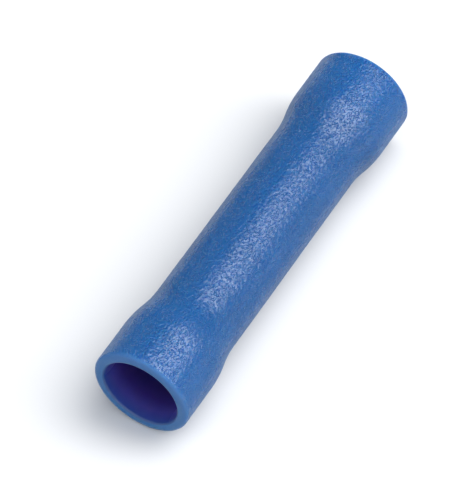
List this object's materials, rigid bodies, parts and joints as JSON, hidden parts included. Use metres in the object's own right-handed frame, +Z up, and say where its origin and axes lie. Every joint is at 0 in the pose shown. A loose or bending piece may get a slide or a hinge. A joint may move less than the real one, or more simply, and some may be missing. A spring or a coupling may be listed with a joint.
{
  "type": "butt splice connector",
  "caption": "Round waisted vinyl sleeve with a bell mouth at each end, holding a metal crimp barrel that joins wires end to end.",
  "frame": {"origin": "on the surface that the connector lies on, under the middle of its length", "axes": "+X along the connector's axis, +Z up; the connector lies on its two bells"},
  "size_m": [0.026, 0.0062, 0.0063],
  "materials": {
    "blue_vinyl": "satin",
    "tinned_copper": "satin"
  },
  "bodies": {
    "root": {"insulating_sleeve": "blue_vinyl", "crimp_barrel": "tinned_copper"}
  },
  "joints": []
}
